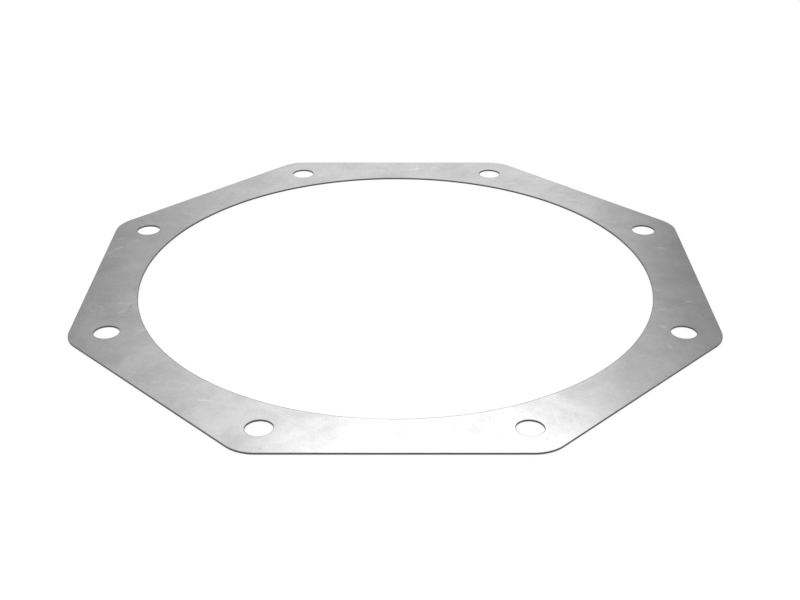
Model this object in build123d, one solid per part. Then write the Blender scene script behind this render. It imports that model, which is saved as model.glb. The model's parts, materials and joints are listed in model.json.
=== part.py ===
from build123d import *
import os

# Flange gasket: one thin steel sheet, cut to an eight-sided plate with rounded corners, a wide round
# bore and one bolt hole inside each corner. Sizes are in millimetres. +Z is the plate's normal, and
# the origin is the bore's centre on the lower sealing face. One pair of the plate's sides faces
# along X, and another pair along Y.

# Openings
bore_diameter = 276.0
bolt_hole_diameter = 13.0
bolt_count = 8

# Bands of sheet left beside each bolt hole
inner_land = 12.5  # from the bore to the hole's edge
outer_land = 12.5  # from the hole's edge to the plate's sides, and round its corner

# Sheet
thickness = 1.0
edge_break = 0.1  # width that deburring takes off every cut edge

# The bolts stand clear of the bore, half a step round from the X axis.
bolt_hole_radius = bolt_hole_diameter / 2
bolt_circle_radius = bore_diameter / 2 + inner_land + bolt_hole_radius
first_bolt_angle = 180.0 / bolt_count


def outline() -> Sketch:
    """Give the plate's outer shape: the polygon through the bolt centres, widened all round.

    The widening keeps every side straight and rounds each corner about its own bolt hole.
    """
    with BuildSketch() as shape:
        RegularPolygon(bolt_circle_radius, bolt_count, rotation=first_bolt_angle)
        offset(amount=bolt_hole_radius + outer_land, kind=Kind.ARC)
    return shape.sketch


def openings() -> Sketch:
    """Give all that is cut out of the plate: the bore and the ring of bolt holes."""
    with BuildSketch() as shape:
        Circle(bore_diameter / 2)
        with PolarLocations(bolt_circle_radius, bolt_count, start_angle=first_bolt_angle):
            Circle(bolt_hole_radius)
    return shape.sketch


def gasket_plate() -> Part:
    """Give the finished plate, with every cut edge deburred on both sealing faces."""
    blank = extrude(outline() - openings(), amount=thickness)
    sealing_faces = blank.faces().filter_by(Axis.Z)
    return chamfer(sealing_faces.edges(), edge_break)


if __name__ == "__main__":
    os.makedirs("parts", exist_ok=True)
    export_step(gasket_plate(), "parts/gasket_plate.step")
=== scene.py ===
"""Looks of a flange gasket: one thin sheet of clouded steel on a white studio floor.

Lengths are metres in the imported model's frame: +Z is the plate's normal, and the origin is the
bore's centre on the lower face. Outlines are flat, so a point of one is held as a complex number,
x + iy, and turning it about the origin is a product with a number of length one.
"""

import json
import logging
import math
from dataclasses import dataclass
from enum import Enum
from typing import Any

import bpy
import numpy as np
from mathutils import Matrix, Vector
from numpy.typing import NDArray


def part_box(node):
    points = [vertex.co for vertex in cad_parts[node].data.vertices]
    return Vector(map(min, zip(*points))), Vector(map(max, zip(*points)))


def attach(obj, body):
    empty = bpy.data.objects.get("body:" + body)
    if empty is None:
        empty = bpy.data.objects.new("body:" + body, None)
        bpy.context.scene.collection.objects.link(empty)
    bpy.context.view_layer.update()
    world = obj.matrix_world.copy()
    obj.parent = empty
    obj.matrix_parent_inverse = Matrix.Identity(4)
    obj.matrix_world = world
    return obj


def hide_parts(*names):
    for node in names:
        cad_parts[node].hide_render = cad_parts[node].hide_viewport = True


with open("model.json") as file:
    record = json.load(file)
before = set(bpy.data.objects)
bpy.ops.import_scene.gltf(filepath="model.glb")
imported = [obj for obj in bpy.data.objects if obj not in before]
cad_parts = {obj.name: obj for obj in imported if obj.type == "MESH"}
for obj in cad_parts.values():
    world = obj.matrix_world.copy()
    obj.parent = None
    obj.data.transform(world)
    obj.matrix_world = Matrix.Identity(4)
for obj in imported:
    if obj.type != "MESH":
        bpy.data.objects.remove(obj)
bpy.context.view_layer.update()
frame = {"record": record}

log = logging.getLogger("flange_gasket")

Reals = NDArray[np.float64]
Planes = NDArray[np.complex128]
Indices = NDArray[np.int64]

MILLIMETRE = 0.001
WELD_STEP = 1.0e-7
NOISE_MEAN = 0.5
NODE = "gasket_plate"


class Maths(Enum):
    """The sums that shader values are put through."""

    ADD = "ADD"
    SUBTRACT = "SUBTRACT"
    MULTIPLY = "MULTIPLY"
    ABSOLUTE = "ABSOLUTE"
    MAXIMUM = "MAXIMUM"
    COSINE = "COSINE"
    ARCSINE = "ARCSINE"
    ARCTAN2 = "ARCTAN2"
    WRAP = "WRAP"


class Mark(Enum):
    """What the sheet's mesh tells its finish at each vertex, from 0 to 1."""

    # Where the cut edge's grey goes: the walls, and the painted shade on the rounding and beside
    # it.
    CUT = "cut_edge"
    RUB = "rubbed_border"


class Metal(Enum):
    """On which side of its outline a rim's metal lies."""

    WITHIN = 1.0
    BEYOND = -1.0


@dataclass(frozen=True)
class Socket:
    """One output of a shader node, which Python's operators can use in sums."""

    graph: "Graph"
    end: bpy.types.NodeSocket

    def __add__(self, other: "Socket | float") -> "Socket":
        """Give this value plus another."""
        return self.graph.sum(Maths.ADD, self, other)

    def __sub__(self, other: "Socket | float") -> "Socket":
        """Give this value less another."""
        return self.graph.sum(Maths.SUBTRACT, self, other)

    def __rsub__(self, other: float) -> "Socket":
        """Give a number less this value."""
        return self.graph.sum(Maths.SUBTRACT, other, self)

    def __mul__(self, other: "Socket | float") -> "Socket":
        """Give this value times another."""
        return self.graph.sum(Maths.MULTIPLY, self, other)

    __radd__ = __add__
    __rmul__ = __mul__


Input = Socket | float | tuple[float, ...]


@dataclass(frozen=True)
class Graph:
    """The shader nodes of one material or world.

    Args:
        tree: the node tree that new nodes go into.
    """

    tree: bpy.types.NodeTree

    @staticmethod
    def _named(sockets: Any, key: str | int) -> bpy.types.NodeSocket:
        """Find one of a node's sockets.

        Args:
            sockets: the node's inputs or its outputs.
            key: the socket's place among them, its identifier or its name.

        Returns:
            The socket.
        """
        if isinstance(key, int):
            return sockets[key]
        return next(socket for socket in sockets if key in (socket.identifier, socket.name))

    def add(
        self,
        kind: str,
        settings: dict[str, Any] | None = None,
        inputs: dict[str | int, Input] | None = None,
        output: str | int = 0,
    ) -> Socket:
        """Add one node, set it up and link it.

        Args:
            kind: Blender's name of the node's type.
            settings: the node's own properties, which are set before its sockets.
            inputs: a value or a link for each socket that isn't left as it comes.
            output: the output to hand on.

        Returns:
            The chosen output.
        """
        node = self.tree.nodes.new(kind)
        for name, value in (settings or {}).items():
            setattr(node, name, value)
        for key, value in (inputs or {}).items():
            socket = self._named(node.inputs, key)
            if isinstance(value, Socket):
                self.tree.links.new(value.end, socket)
            else:
                socket.default_value = value
        return Socket(self, self._named(node.outputs, output))

    def show(self, kind: str, surface: Socket) -> None:
        """Link a shader to the output node of that type."""
        node = self.tree.nodes.new(kind)
        self.tree.links.new(surface.end, node.inputs["Surface"])

    def sum(self, operation: Maths, *values: Socket | float) -> Socket:
        """Put one, two or three values through a Math node."""
        return self.add("ShaderNodeMath", {"operation": operation.value}, dict(enumerate(values)))

    def fade(self, value: Socket, start: float, end: float, low: float, high: float) -> Socket:
        """Carry a value smoothly from one level to another, and hold it outside its limits.

        Args:
            value: the value that is followed.
            start, end: its limits.
            low, high: the levels that it is carried to at those limits.

        Returns:
            The level.
        """
        limits = {"From Min": start, "From Max": end, "To Min": low, "To Max": high}
        return self.add(
            "ShaderNodeMapRange", {"interpolation_type": "SMOOTHSTEP"}, {"Value": value, **limits}
        )

    def blend(self, share: Socket, first: Input, second: Input) -> Socket:
        """Mix two colours.

        Args:
            share: how much of the second colour there is, from 0 to 1.
            first, second: the colours.

        Returns:
            The mixed colour.
        """
        return self.add(
            "ShaderNodeMix",
            {"data_type": "RGBA"},
            {"Factor_Float": share, "A_Color": first, "B_Color": second},
            "Result_Color",
        )

    def mark(self, mark: Mark) -> Socket:
        """Read one of the sheet's marks."""
        return self.add("ShaderNodeAttribute", {"attribute_name": mark.value}, output="Fac")


def grey(level: float) -> tuple[float, float, float, float]:
    """Give a neutral colour of that level."""
    return (level, level, level, 1.0)


WHITE = grey(1.0)


def new_material(name: str) -> tuple[bpy.types.Material, Graph]:
    """Make an empty node material.

    Args:
        name: the material's name.

    Returns:
        The material, and the graph that its nodes go into.
    """
    material = bpy.data.materials.new(name)
    material.use_nodes = True
    material.node_tree.nodes.clear()
    return material, Graph(material.node_tree)


@dataclass(frozen=True)
class Pattern:
    """A cloudy noise all over the sheet.

    Args:
        size: how far it is across the largest patches, in metres.
        detail, roughness, distortion: the noise node's settings.
        squeeze: how much smaller the patches are along X, Y and Z. Below 1, they are drawn out.
        turn: how far the noise's own grid is turned about Z against the sheet's axes, in degrees.
    """

    size: float
    detail: float = 2.0
    roughness: float = 0.5
    distortion: float = 0.0
    squeeze: tuple[float, float, float] | None = None
    turn: float = 0.0

    def level(self, graph: Graph, place: Socket) -> Socket:
        """Give the noise's level.

        Args:
            graph: the material's nodes.
            place: where on the sheet, in metres.

        Returns:
            The level, which is between 0 and 1.
        """
        if self.squeeze is not None:
            turn = (0.0, 0.0, math.radians(self.turn))
            changes: dict[str | int, Input] = {"Rotation": turn, "Scale": self.squeeze}
            place = graph.add("ShaderNodeMapping", None, {"Vector": place, **changes})
        settings: dict[str | int, Input] = {
            "Scale": 1 / self.size,
            "Detail": self.detail,
            "Roughness": self.roughness,
            "Distortion": self.distortion,
        }
        return graph.add("ShaderNodeTexNoise", None, {"Vector": place, **settings})


@dataclass(frozen=True)
class Blemish:
    """A kind of small mark, which shows at the few highest peaks of a pattern.

    Args:
        pattern: the pattern that peaks.
        peaks: the levels of it between which a mark comes up.
        cover: how much of the sheet's own grey a full mark hides.
        shade: the mark's grey.
    """

    pattern: Pattern
    peaks: tuple[float, float]
    cover: float
    shade: float

    def strength(self, graph: Graph, place: Socket) -> Socket:
        """Give how far a mark has come up, from 0 to 1."""
        return graph.fade(self.pattern.level(graph, place), *self.peaks, 0.0, 1.0)


@dataclass(frozen=True)
class SheetSteel:
    """Cold-rolled steel sheet: satin, faintly clouded, with a few small marks and dark cut edges.

    Args:
        dark, light: the grey of the darkest and of the lightest clouds.
        clouds, wisps, specks: the broad, the fine and the finest part of the sheet's clouding.
        wisp_share: the wisps' part in it, to which the broad clouds are the rest.
        speck_share: how strong the specks are beside both.
        spread: the levels of the clouding at which the sheet is darkest and lightest.
        haze, polish: roughness of the darkest and of the lightest clouds.
        scuffs, flecks: the light marks and the dark ones.
        scuff_haze: what a full scuff adds to the roughness.
        rub_polish: what rubbing takes from it along the borders.
        waves, wave_height: the sheet's slight waviness, which bends reflections a little.
        grain, grain_height: the rolled surface's fine grain, which runs along the sheet.
        cut_lines: the cut edge's pattern, drawn out in Z, so that its lines stand upright.
        cut_shade_dark, cut_shade_light: the greys of those lines. Their darkness is painted shade,
            which stands
        in for the dark reflection of the walls and their rounding.
        cut_roughness: roughness of the cut edge.
    """

    dark: float = 0.555
    light: float = 0.74
    clouds: Pattern = Pattern(size=0.024, detail=7.0, roughness=0.58, distortion=0.4)
    wisps: Pattern = Pattern(
        size=0.006, detail=4.0, roughness=0.6, distortion=0.5, squeeze=(1.5, 1.0, 1.0)
    )
    specks: Pattern = Pattern(size=0.001, detail=1.0)
    wisp_share: float = 0.25
    speck_share: float = 0.2
    spread: tuple[float, float] = (0.25, 0.75)
    haze: float = 0.17
    polish: float = 0.135
    scuffs: Blemish = Blemish(
        pattern=Pattern(
            size=0.013,
            detail=3.0,
            roughness=0.55,
            distortion=0.9,
            squeeze=(0.7, 1.2, 1.0),
            turn=28.0,
        ),
        peaks=(0.63, 0.79),
        cover=0.7,
        shade=0.888,
    )
    flecks: Blemish = Blemish(
        pattern=Pattern(size=0.004), peaks=(0.68, 0.78), cover=0.45, shade=0.333
    )
    scuff_haze: float = 0.08
    rub_polish: float = 0.02
    waves: Pattern = Pattern(size=0.012)
    wave_height: float = 1.0e-5
    grain: Pattern = Pattern(size=0.4 * MILLIMETRE, squeeze=(0.2, 1.0, 1.0))
    grain_height: float = 1.0e-6
    cut_lines: Pattern = Pattern(
        size=0.5 * MILLIMETRE, detail=3.0, roughness=0.6, squeeze=(1.0, 1.0, 0.06)
    )
    # Painted shade: the cut edge's greys are set dark to stand in for the dark reflection of its
    # walls.
    cut_shade_dark: float = 0.07
    cut_shade_light: float = 0.14
    cut_roughness: float = 0.5

    def lightness(self, graph: Graph, place: Socket) -> Socket:
        """Give how light the sheet's clouding is.

        The specks are counted from the noise's mean, so that they add nothing on the whole.

        Args:
            graph: the material's nodes.
            place: where on the sheet, in metres.

        Returns:
            The lightness, from 0 for the darkest clouds to 1 for the lightest.
        """
        broad = self.clouds.level(graph, place) * (1.0 - self.wisp_share)
        fine = self.wisps.level(graph, place) * self.wisp_share
        specks = (self.specks.level(graph, place) - NOISE_MEAN) * self.speck_share
        return graph.fade(broad + fine + specks, *self.spread, 0.0, 1.0)

    def relief(self, graph: Graph, place: Socket) -> Socket:
        """Give the height of the face: slow waves, and the grain on them."""
        waves = self.waves.level(graph, place) * self.wave_height
        return waves + self.grain.level(graph, place) * self.grain_height

    def material(self) -> bpy.types.Material:
        """Build the finish as one material, which the sheet's marks share between face and edge.

        Returns:
            The material.
        """
        material, graph = new_material("clouded_sheet_steel")
        place = graph.add("ShaderNodeTexCoord", output="Object")
        # cut: where the cut edge's grey goes, with the painted shade beside and along each edge.
        cut, rub = graph.mark(Mark.CUT), graph.mark(Mark.RUB)
        lightness = self.lightness(graph, place)
        scuffs, flecks = self.scuffs.strength(graph, place), self.flecks.strength(graph, place)
        lines = self.cut_lines.level(graph, place)

        face = graph.blend(lightness, grey(self.dark), grey(self.light))
        face = graph.blend(flecks * self.flecks.cover, face, grey(self.flecks.shade))
        face = graph.blend(scuffs * self.scuffs.cover, face, grey(self.scuffs.shade))
        # The cut edge's grey: its stripes are its own, its darkness is painted shade for the walls'
        # dark reflection.
        edge = graph.blend(lines, grey(self.cut_shade_dark), grey(self.cut_shade_light))
        haze = self.haze - (self.haze - self.polish) * lightness
        haze = haze + scuffs * self.scuff_haze - rub * self.rub_polish
        roughness = haze * (1.0 - cut) + cut * self.cut_roughness
        normal = graph.add(
            "ShaderNodeBump", None, {"Distance": 1.0, "Height": self.relief(graph, place)}
        )
        shader = graph.add(
            "ShaderNodeBsdfPrincipled",
            None,
            {
                "Base Color": graph.blend(cut, face, edge),
                "Metallic": 1.0,
                "Roughness": roughness,
                "Normal": normal,
            },
        )
        graph.show("ShaderNodeOutputMaterial", shader)
        return material


@dataclass(frozen=True)
class Patch:
    """A grid of surface points, with what the mesh needs to know at each of them.

    Args:
        plane: the points seen from above, as complex numbers in rows and columns.
        height: how high each point is.
        lean: each point's outward normal seen from above, as complex numbers.
        lift: the upward part of each normal.
        cut, rub: the two marks for the finish. The cut mark also carries the painted shade along
            each edge.
    """

    plane: Planes
    height: Reals
    lean: Planes
    lift: Reals
    cut: Reals
    rub: Reals

    def cells(self) -> Indices:
        """Number the corners of each cell.

        Returns:
            For each cell, the places of its four corners in the patch's flattened points.
        """
        place = np.arange(self.plane.size).reshape(self.plane.shape)
        corners = (place[:-1, :-1], place[:-1, 1:], place[1:, 1:], place[1:, :-1])
        return np.stack(corners, axis=-1).reshape(-1, 4)


@dataclass(frozen=True)
class Rim:
    """One stretch of outline, from which parallel curves are drawn at any depth into the metal.

    A point of it is its root plus its reach times its heading. Moving into the metal by some depth
    shortens that reach by the depth, or lengthens it where the metal lies beyond the outline.

    Args:
        root: the points that the outline is drawn about, as complex numbers.
        heading: the direction from each root to the outline, of length one.
        reach: how far the outline is from its root.
        metal: on which side the metal lies.
    """

    root: Planes
    heading: Planes
    reach: float
    metal: Metal

    def at(self, depth: float | Reals) -> Planes:
        """Give the curve that lies this deep in the metal."""
        return self.root + (self.reach - self.metal.value * depth) * self.heading


@dataclass(frozen=True)
class GasketPlate:
    """The gasket: an eight-sided plate that is the same in every sector, one for each bolt hole.

    A sector reaches half a step to each side of its bolt hole, and is worked out with that hole on
    the X axis. The plate is all its sectors, turned into place and welded.

    Args:
        bore_radius, bolt_hole_radius: sizes of the openings.
        bolt_circle_radius: how far the bolt holes are from the bore's axis.
        bolt_count: how many bolt holes there are.
        half_width: how far the plate's sides are from the bore's axis.
        thickness: the sheet's thickness.
        edge_radius: rounding that deburring leaves on each cut edge.
        outline_shade_line, bore_shade_line, hole_shade_line: width of the line of painted shade on
        the face beside
            the rounding, along the outline and round the bore and each bolt hole. It stands in for
            the dark reflection along the edge.
        shade_line_core: the share of that width over which the painted shade is even. Over the rest
            it fades out.
        shade_line_depth: how near that painted shade comes to the cut edge's grey, from 0 to 1.
        border: width of the rubbed band along each cut edge.
        bore_steps, corner_steps, side_steps, seam_steps: cells along each piece of a sector's rim.
        face_steps: cells from a bolt hole's border to the sector's rim.
        face_crowding: the power by which those cells crowd towards the bolt hole.
        round_steps: cells round one quarter of a rounded edge.
    """

    bore_radius: float
    bolt_hole_radius: float
    bolt_circle_radius: float
    bolt_count: int
    half_width: float
    thickness: float
    edge_radius: float = 0.1 * MILLIMETRE
    # Widths and depth of the painted shade beside each cut edge.
    outline_shade_line: float = 0.2 * MILLIMETRE
    bore_shade_line: float = 0.32 * MILLIMETRE
    hole_shade_line: float = 0.2 * MILLIMETRE
    shade_line_core: float = 0.8
    shade_line_depth: float = 0.6
    border: float = 0.8 * MILLIMETRE
    bore_steps: int = 90
    corner_steps: int = 20
    side_steps: int = 24
    seam_steps: int = 10
    face_steps: int = 6
    face_crowding: float = 1.6
    round_steps: int = 5

    @classmethod
    def from_frame(cls, record: dict[str, Any]) -> "GasketPlate":
        """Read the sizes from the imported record's mounts and from the node's box.

        Args:
            record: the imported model's record.

        Returns:
            The plate with those sizes.
        """
        dims = {mount["name"]: mount["dims"] for mount in record["mounts"]}
        low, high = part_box(NODE)
        return cls(
            bore_radius=dims["bore"]["r_mm"] * MILLIMETRE,
            bolt_hole_radius=dims["bolt_holes"]["hole_r_mm"] * MILLIMETRE,
            bolt_circle_radius=dims["bolt_holes"]["pcd_mm"] / 2 * MILLIMETRE,
            bolt_count=dims["bolt_holes"]["count"],
            half_width=high.x,
            thickness=high.z - low.z,
        )

    @property
    def half_sector(self) -> float:
        """Angle from a bolt hole to the seam of its sector."""
        return math.pi / self.bolt_count

    @property
    def outer_reach(self) -> float:
        """How far the outline stands out from the polygon through the bolt holes' centres."""
        return self.half_width - self.bolt_circle_radius * math.cos(self.half_sector)

    def outer_rim(self) -> Rim:
        """Draw the outline of one sector: half a side, the rounded corner and half a side.

        Along a side, the root runs on the polygon through the bolt centres, and its distance from
        the bolt hole grows as the tangent of an angle, so that the points lie close near the hole.
        Round the corner, the root stays on the bolt hole's centre while the heading turns.

        Returns:
            The rim, from the sector's lower seam to its upper one.
        """
        half = self.half_sector
        span = self.bolt_circle_radius * math.sin(half)
        sweep = np.linspace(0.0, math.atan(span / self.outer_reach), self.side_steps + 1)[1:]
        along = self.outer_reach * np.tan(sweep)
        first, last = np.exp(-1j * half), np.exp(1j * half)
        corner = np.exp(1j * np.linspace(-half, half, self.corner_steps + 1))
        steps = np.concatenate([-1j * first * along[::-1], 0 * corner, 1j * last * along])
        heading = np.concatenate([np.full(along.size, first), corner, np.full(along.size, last)])
        return Rim(self.bolt_circle_radius + steps, heading, self.outer_reach, Metal.WITHIN)

    def bore_rim(self) -> Rim:
        """Draw the bore's arc in one sector, from its upper seam back to its lower one."""
        heading = np.exp(1j * np.linspace(self.half_sector, -self.half_sector, self.bore_steps + 1))
        return Rim(0 * heading, heading, self.bore_radius, Metal.BEYOND)

    def hole_rim(self, facing: Planes) -> Rim:
        """Draw the bolt hole's edge.

        Args:
            facing: for each point of the edge, the point of the sector's loop that it faces.

        Returns:
            The rim, with as many points.
        """
        offset = facing - self.bolt_circle_radius
        heading = offset / np.abs(offset)
        root = np.full(heading.size, self.bolt_circle_radius, dtype=complex)
        return Rim(root, heading, self.bolt_hole_radius, Metal.BEYOND)

    def sector_loop(self, depth: float) -> Planes:
        """Join the outline, the bore's arc and the two seams between them into one closed loop.

        Args:
            depth: how deep in the metal the outline and the arc are drawn.

        Returns:
            The loop's points, of which the last is the first again.
        """
        outer, bore = self.outer_rim().at(depth), self.bore_rim().at(depth)
        share = np.linspace(0.0, 1.0, self.seam_steps + 1)[1:]
        down = outer[-1] + (bore[0] - outer[-1]) * share
        up = bore[-1] + (outer[0] - bore[-1]) * share
        return np.concatenate([outer, down[:-1], bore, up])

    def edge_patch(self, rim: Rim, line: float) -> Patch:
        """Carry the cut edge's profile along a rim.

        The profile starts on the upper face at the border's inner edge and crosses the line of
        painted shade. It rounds over by a quarter circle, drops down the wall, rounds under by
        another quarter and crosses the lower line and border. A rounded point lies at its quarter's
        centre plus the radius times its own normal. The painted shade deepens to the cut edge's
        grey as the profile turns down, by the sine of its slope, so that the rounding is painted
        darker the more it leans away from the face.

        Args:
            rim: the outline that is followed.
            line: width of the line of painted shade beside the rounding.

        Returns:
            The patch, from the upper face's border to the lower face's.
        """
        radius, quarter = self.edge_radius, np.linspace(0.0, math.pi / 2, self.round_steps + 1)
        flat = np.array([self.border, line, line * self.shade_line_core])
        inset = np.concatenate([flat, 0 * quarter, 0 * quarter, flat[::-1]])
        slope = np.concatenate([0 * flat + math.pi / 2, quarter[::-1]])
        slope = np.concatenate([slope, -slope[::-1]])
        depth = radius * (1 - np.cos(slope)) + inset
        upper = np.arange(slope.size) < slope.size / 2
        centre = np.where(upper, self.thickness - radius, radius)
        # Painted shade: darker towards the cut edge's grey as the profile turns down.
        shade = np.where(inset < line, 1 - (1 - self.shade_line_depth) * np.abs(np.sin(slope)), 0.0)
        out = (rim.metal.value * np.cos(slope))[:, None] * rim.heading[None, :]
        shape = out.shape
        return Patch(
            plane=rim.at(depth[:, None]),
            height=np.broadcast_to((centre + radius * np.sin(slope))[:, None], shape),
            lean=out,
            lift=np.broadcast_to(np.sin(slope)[:, None], shape),
            cut=np.broadcast_to(shade[:, None], shape),
            rub=np.broadcast_to(np.where(inset < self.border, 1.0, 0.0)[:, None], shape),
        )

    def face_patch(self, loop: Planes, hole: Planes, height: float, lift: float) -> Patch:
        """Span a face between the bolt hole's border and the sector's loop.

        Each point is a share of the way from a hole point to the loop point that faces it, and
        that share grows as a power, so that the rings lie closest beside the hole.

        Args:
            loop: the sector's loop.
            hole: the points of the bolt hole's border that face it.
            height: how high the face is.
            lift: 1 for a face that looks up, and -1 for one that looks down.

        Returns:
            The patch, in rings from the hole to the loop.
        """
        share = np.linspace(0.0, 1.0, self.face_steps + 1)[:, None]
        plane = hole + (loop - hole) * share**self.face_crowding
        blank = np.zeros(plane.shape)
        return Patch(plane, blank + height, blank * 1j, blank + lift, blank, blank)

    def patches(self) -> list[Patch]:
        """Work out every patch of one sector.

        Returns:
            The three cut edges, the upper face and the lower one.
        """
        depth = self.edge_radius + self.border
        loop = self.sector_loop(depth)
        hole_rim = self.hole_rim(loop)
        hole = hole_rim.at(depth)
        edges = [
            self.edge_patch(self.outer_rim(), self.outline_shade_line),
            self.edge_patch(self.bore_rim(), self.bore_shade_line),
            self.edge_patch(hole_rim, self.hole_shade_line),
        ]
        upper = self.face_patch(loop, hole, self.thickness, 1.0)
        lower = self.face_patch(loop, hole, 0.0, -1.0)
        return [*edges, upper, lower]

    def build(self) -> bpy.types.Object:
        """Build the whole plate.

        Returns:
            One closed mesh object, with its finish.
        """
        middles = (2 * np.arange(self.bolt_count) + 1) * self.half_sector
        shell = Shell.of_sectors(self.patches(), np.exp(1j * middles))
        plate = shell.to_object("gasket_sheet")
        plate.data.materials.append(SheetSteel().material())
        return plate


@dataclass(frozen=True)
class Shell:
    """A closed mesh as arrays.

    Args:
        points, normals: a place and an outward normal for each vertex.
        marks: each mark's value at each vertex.
        faces: four vertices for each face, in the order that faces out.
    """

    points: Reals
    normals: Reals
    marks: dict[Mark, Reals]
    faces: Indices

    @classmethod
    def of_sectors(cls, patches: list[Patch], turns: Planes) -> "Shell":
        """Turn one sector's patches into every sector and weld them.

        A vertex is welded to those whose places round to the same weld step. A face whose corners
        run the wrong way for its vertices' normals is turned round.

        Args:
            patches: the patches of one sector.
            turns: for each sector, the number of length one that turns it into place.

        Returns:
            The welded shell.
        """
        plane = np.concatenate([patch.plane.ravel() for patch in patches])
        lean = np.concatenate([patch.lean.ravel() for patch in patches])
        sizes = np.array([patch.plane.size for patch in patches])
        starts = np.cumsum(sizes) - sizes
        cells = np.concatenate([patch.cells() + start for patch, start in zip(patches, starts)])

        def level(name: str) -> Reals:
            """Give one real value of every patch point, repeated for each sector."""
            values = np.concatenate([getattr(patch, name).ravel() for patch in patches])
            return np.tile(values, turns.size)

        turned = (turns[:, None] * plane).ravel()
        leaning = (turns[:, None] * lean).ravel()
        points = np.stack([turned.real, turned.imag, level("height")], axis=1)
        normals = np.stack([leaning.real, leaning.imag, level("lift")], axis=1)
        cells = (cells + (np.arange(turns.size) * plane.size)[:, None, None]).reshape(-1, 4)

        grid = np.round(points / WELD_STEP).astype(np.int64)
        _, kept, welded = np.unique(grid, axis=0, return_index=True, return_inverse=True)
        points, normals, cells = points[kept], normals[kept], welded.reshape(-1)[cells]
        across = points[cells[:, 2]] - points[cells[:, 0]]
        facing = np.cross(across, points[cells[:, 3]] - points[cells[:, 1]])
        inward = np.einsum("ij,ij->i", facing, normals[cells].mean(axis=1)) < 0
        cells[inward] = cells[inward, ::-1]
        marks = {Mark.CUT: level("cut")[kept], Mark.RUB: level("rub")[kept]}
        return cls(points, normals, marks, cells)

    def to_object(self, name: str) -> bpy.types.Object:
        """Put the arrays into a new mesh object at the origin.

        Args:
            name: the object's name.

        Returns:
            The object, smooth and with the shell's own normals.
        """
        mesh = bpy.data.meshes.new(name)
        mesh.from_pydata(self.points, [], self.faces)
        mesh.polygons.foreach_set("use_smooth", np.ones(len(self.faces), dtype=bool))
        for mark, values in self.marks.items():
            attribute = mesh.attributes.new(mark.value, "FLOAT", "POINT")
            attribute.data.foreach_set("value", values.astype(np.float32))
        mesh.normals_split_custom_set_from_vertices(self.normals)
        mesh.validate()
        thing = bpy.data.objects.new(name, mesh)
        bpy.context.scene.collection.objects.link(thing)
        return thing


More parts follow.
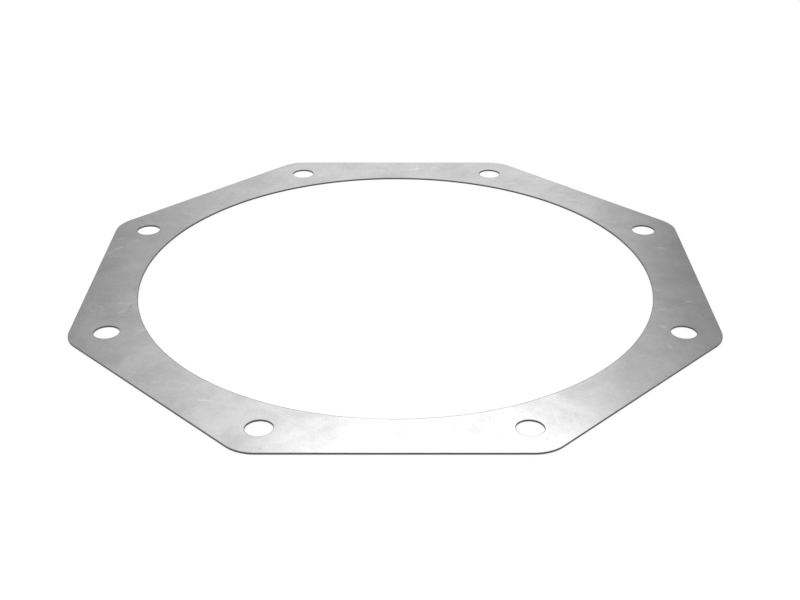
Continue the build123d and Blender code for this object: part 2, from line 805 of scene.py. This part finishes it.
@dataclass(frozen=True)
class SoftPanels:
    """A ring of tall soft panels round the studio, with dimmer drapes between them.

    The ring is a band of a sphere about the origin, which the camera and glass look through. It
    fades out at its crown, so that metal shows the white backdrop above it. Angles are degrees.
    Azimuth is 0 along +Y and grows towards +X.

    Args:
        count: how many panels stand in the ring.
        azimuth: where the first one's middle is.
        half_width, softness: half the panel's width, and half the width of its soft edge.
        lower_level, upper_level: brightness of its lower and upper part.
        climb: elevations between which the lower part changes into the upper one.
        drape_levels: brightness of the drapes at their foot and at their top.
        drape_climb: elevations of that foot and that top.
        drape_swing: how much brighter than their mean the drapes are on the panels' lit side.
        drape_azimuth: where, from a panel's middle, that lit side is.
        crown: elevations between which the ring fades out.
        columns, rows: cells of its mesh round the ring and up it.
    """

    count: int = 8
    azimuth: float = 2.68
    half_width: float = 7.45
    softness: float = 4.23
    lower_level: float = 0.9
    upper_level: float = 2.3
    climb: tuple[float, float] = (28.9, 38.7)
    drape_levels: tuple[float, float] = (0.5, 0.895)
    drape_climb: tuple[float, float] = (22.9, 36.0)
    drape_swing: float = 0.377
    drape_azimuth: float = -3.95
    crown: tuple[float, float] = (40.0, 49.0)
    columns: int = 96
    rows: int = 12

    def brightness(self, graph: Graph, azimuth: Socket, elevation: Socket) -> Socket:
        """Give the ring's brightness at that azimuth and elevation, both in radians.

        The azimuth is folded into the span of one panel, so that every panel is the same. The panel
        shows where its soft-edged mask is 1, and the drapes where it is 0.

        Args:
            graph: the material's nodes.
            azimuth: the azimuth.
            elevation: the elevation.

        Returns:
            The brightness, where 1 is white.
        """
        step = math.pi / self.count
        turn = graph.sum(Maths.WRAP, azimuth - math.radians(self.azimuth), step, -step)
        inner, outer = (
            math.radians(self.half_width + side * self.softness) for side in (-1.0, 1.0)
        )
        panel_mask = graph.fade(graph.sum(Maths.ABSOLUTE, turn), inner, outer, 1.0, 0.0)
        panel = graph.fade(
            elevation, *map(math.radians, self.climb), self.lower_level, self.upper_level
        )
        drape = graph.fade(elevation, *map(math.radians, self.drape_climb), *self.drape_levels)
        lit_side = (turn - math.radians(self.drape_azimuth)) * float(self.count)
        drape = drape + graph.sum(Maths.COSINE, lit_side) * self.drape_swing
        return drape + panel_mask * (panel - drape)

    def material(self) -> bpy.types.Material:
        """Build the ring's glow, which gives way to a clear surface at the crown.

        Returns:
            The material.
        """
        material, graph = new_material("panel_ring")
        material.cycles.emission_sampling = "NONE"
        place = graph.add("ShaderNodeTexCoord", output="Object")
        direction = graph.add("ShaderNodeVectorMath", {"operation": "NORMALIZE"}, {0: place})
        x, y, z = (
            graph.add("ShaderNodeSeparateXYZ", None, {"Vector": direction}, axis) for axis in "XYZ"
        )
        elevation = graph.sum(Maths.ARCSINE, z)
        glow = graph.add(
            "ShaderNodeEmission",
            None,
            {
                "Color": WHITE,
                "Strength": self.brightness(graph, graph.sum(Maths.ARCTAN2, x, y), elevation),
            },
        )
        clear = graph.add("ShaderNodeBsdfTransparent")
        share = graph.fade(elevation, *map(math.radians, self.crown), 0.0, 1.0)
        graph.show(
            "ShaderNodeOutputMaterial",
            graph.add("ShaderNodeMixShader", None, {0: share, 1: glow, 2: clear}),
        )
        return material

    def build(self, radius: float) -> None:
        """Stand the ring round the studio.

        A point of it is the radius times the direction that its azimuth and elevation give.

        Args:
            radius: how far it is from the origin, in metres.
        """
        azimuth = 2 * math.pi * np.arange(self.columns) / self.columns
        elevation = np.radians(np.linspace(0.0, self.crown[1], self.rows + 1))[:, None]
        across = np.cos(elevation)
        height = np.broadcast_to(np.sin(elevation), (self.rows + 1, self.columns))
        east, north = across * np.sin(azimuth), across * np.cos(azimuth)
        points = radius * np.stack([east, north, height], axis=-1).reshape(-1, 3)
        place = np.arange(height.size).reshape(height.shape)
        ahead = np.roll(place, -1, axis=1)
        corners = (place[:-1], ahead[:-1], ahead[1:], place[1:])
        faces = np.stack(corners, axis=-1).reshape(-1, 4)
        ring = studio_surface("panel_ring", points, faces, self.material())
        ring.visible_camera = ring.visible_transmission = False


def studio_surface(
    name: str, points: Reals, faces: Indices, material: bpy.types.Material
) -> bpy.types.Object:
    """Put a surface of the studio into the scene, as no part of the object.

    Args:
        name: the object's name.
        points: its vertices.
        faces: the vertices of each face.
        material: what it is made of.

    Returns:
        The new object.
    """
    mesh = bpy.data.meshes.new(name)
    mesh.from_pydata(points, [], faces)
    mesh.materials.append(material)
    surface = bpy.data.objects.new(name, mesh)
    bpy.context.scene.collection.objects.link(surface)
    return surface


@dataclass(frozen=True)
class Viewpoint:
    """Where the reference picture was taken from.

    Args:
        lens, sensor: focal length and sensor width, in millimetres.
        distance: how far the camera is from what it aims at.
        elevation: angle of the camera above the plate's plane, in degrees.
        aim: the point that it aims at.
    """

    lens: float = 56.334
    sensor: float = 36.0
    distance: float = 0.6584
    elevation: float = 28.46
    aim: tuple[float, float, float] = (0.00239, -0.02632, 0.001)

    def place_camera(self) -> None:
        """Make the scene's camera, on the plate's -Y side and looking down at it."""
        data = bpy.data.cameras.new("reference_camera")
        data.lens, data.sensor_width = self.lens, self.sensor
        camera = bpy.data.objects.new("reference_camera", data)
        bpy.context.scene.collection.objects.link(camera)
        rise = math.radians(self.elevation)
        back = Vector((0.0, -math.cos(rise), math.sin(rise)))
        camera.location = Vector(self.aim) + back * self.distance
        camera.rotation_mode = "QUATERNION"
        camera.rotation_quaternion = (-back).to_track_quat("-Z", "Y")
        bpy.context.scene.camera = camera


@dataclass(frozen=True)
class Studio:
    """A white studio: a wide floor, a white backdrop, and soft panels all round.

    Args:
        radius: how far the floor and the ring of panels reach.
        floor_drop: how far the floor lies under the plate.
        floor_colour: the floor's grey as a surface.
        floor_glow: what the floor adds where it is seen, which brings it up to white.
        floor_sides: how many sides the floor's outline has.
        panels: the light.
    """

    radius: float = 30.0
    floor_drop: float = 0.02 * MILLIMETRE
    floor_colour: float = 0.2
    floor_glow: float = 0.83
    floor_sides: int = 96
    panels: SoftPanels = SoftPanels()

    def floor_material(self) -> bpy.types.Material:
        """Build the floor's finish: a plain surface, with a glow that lights no dull surface.

        The glow shows only to rays of three kinds: the camera's, those off gloss and those through
        glass.

        Returns:
            The material.
        """
        material, graph = new_material("white_floor")
        shade = graph.add("ShaderNodeBsdfDiffuse", None, {"Color": grey(self.floor_colour)})
        kinds = ("Is Camera Ray", "Is Glossy Ray", "Is Transmission Ray")
        camera, gloss, glass = (graph.add("ShaderNodeLightPath", output=kind) for kind in kinds)
        seen = graph.sum(Maths.MAXIMUM, graph.sum(Maths.MAXIMUM, camera, gloss), glass)
        glow = graph.add(
            "ShaderNodeEmission", None, {"Color": WHITE, "Strength": seen * self.floor_glow}
        )
        both = graph.add("ShaderNodeAddShader", None, {0: shade, 1: glow})
        graph.show("ShaderNodeOutputMaterial", both)
        return material

    def build_floor(self) -> None:
        """Lay the floor: a fan of triangles, whose rim is the radius times a turn."""
        rim = np.exp(2j * math.pi * np.arange(self.floor_sides) / self.floor_sides)
        disc = np.concatenate([[0.0], self.radius * rim])
        points = np.stack([disc.real, disc.imag, np.full(disc.size, -self.floor_drop)], axis=1)
        edge = np.arange(1, disc.size)
        faces = np.stack([np.zeros_like(edge), edge, np.roll(edge, -1)], axis=1)
        studio_surface("studio_floor", points, faces, self.floor_material())

    def light_world(self) -> None:
        """Make the world a plain white backdrop for every kind of ray."""
        world = bpy.data.worlds.new("studio")
        world.use_nodes = True
        world.node_tree.nodes.clear()
        graph = Graph(world.node_tree)
        white = graph.add("ShaderNodeBackground", None, {"Color": WHITE, "Strength": 1.0})
        graph.show("ShaderNodeOutputWorld", white)
        bpy.context.scene.world = world

    def build(self) -> None:
        """Set up the floor, the light and the way that colours are shown."""
        self.build_floor()
        self.light_world()
        self.panels.build(self.radius)
        bpy.context.scene.view_settings.view_transform = "Standard"


def main() -> None:
    """Build the plate in place of its CAD node, then the studio and the camera."""
    logging.basicConfig(level=logging.INFO, format="%(name)s: %(message)s")
    plate = GasketPlate.from_frame(frame["record"]).build()
    mesh = plate.data
    log.info("%s: %d vertices, %d faces", plate.name, len(mesh.vertices), len(mesh.polygons))
    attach(plate, "root")
    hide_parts(NODE)
    Studio().build()
    Viewpoint().place_camera()


if __name__ == "__main__":
    main()
